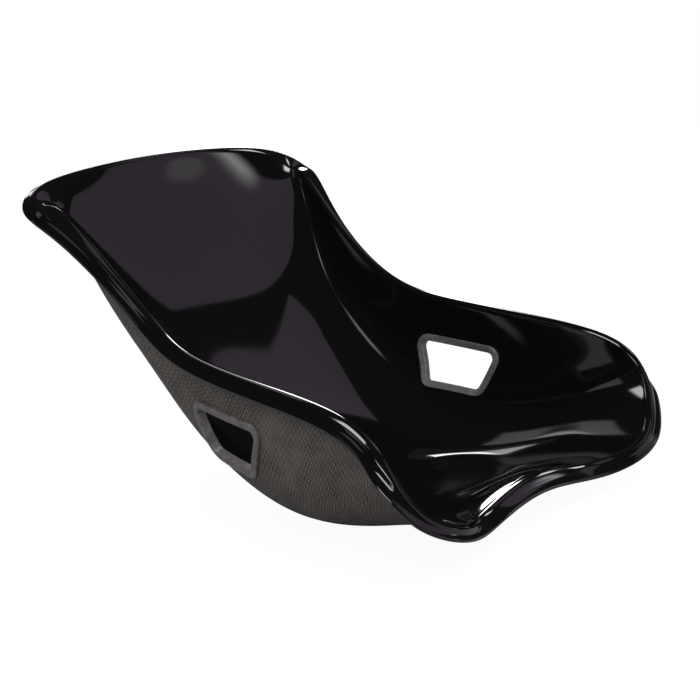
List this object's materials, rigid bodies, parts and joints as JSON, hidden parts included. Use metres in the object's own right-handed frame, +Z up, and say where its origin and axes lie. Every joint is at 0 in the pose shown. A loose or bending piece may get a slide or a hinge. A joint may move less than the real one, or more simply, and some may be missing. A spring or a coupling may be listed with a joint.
{
  "type": "racing seat",
  "caption": "Low-back composite bucket seat for kit, kart and track cars: gloss face moulding with rolled lip, woven backing, side belt slots with bezels, and threaded base inserts.",
  "frame": {"origin": "middle of the four base inserts, on the plane of their lower ends", "axes": "+X to the sitter's left, -Y forward, +Z up; the inserts open downward along -Z"},
  "size_m": [0.5466, 0.728, 0.5072],
  "materials": {
    "gelcoat": "gloss black gelcoat",
    "woven_laminate": "bare woven glass and resin, matt dark grey",
    "bezel_plastic": "satin moulded plastic, dark grey",
    "plated_steel": "zinc plated steel"
  },
  "bodies": {
    "root": {"face_moulding": "gelcoat", "backing_skin": "woven_laminate", "left_inner_bezel": "bezel_plastic", "left_outer_bezel": "bezel_plastic", "right_inner_bezel": "bezel_plastic", "right_outer_bezel": "bezel_plastic", "front_left_insert": "plated_steel", "front_right_insert": "plated_steel", "rear_left_insert": "plated_steel", "rear_right_insert": "plated_steel"}
  },
  "joints": []
}
